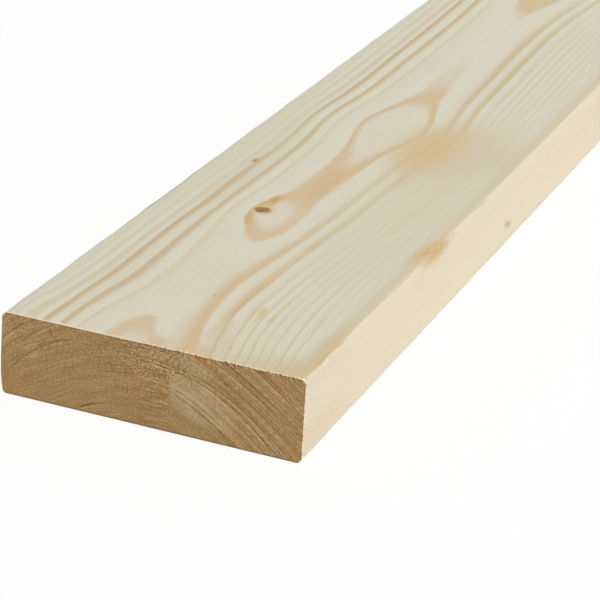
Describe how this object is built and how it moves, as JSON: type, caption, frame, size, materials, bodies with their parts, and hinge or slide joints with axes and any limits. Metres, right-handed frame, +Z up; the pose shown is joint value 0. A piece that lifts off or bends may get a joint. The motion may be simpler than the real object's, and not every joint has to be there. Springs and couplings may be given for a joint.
{
  "type": "lumber plank",
  "caption": "Planed softwood plank, 38 x 140 mm in section, with eased long arrises, a slight wane along one of them and ends sawn square.",
  "frame": {"origin": "middle of the underside, where the plank lies on the floor", "axes": "+X across the width, +Y along the length away from the front end, +Z up through the thickness"},
  "size_m": [0.14, 2.4, 0.038],
  "materials": {
    "softwood": "planed, bare, with straw-coloured growth-ring figure; rough-sawn brown ends"
  },
  "bodies": {
    "root": {"plank": "softwood"}
  },
  "joints": []
}
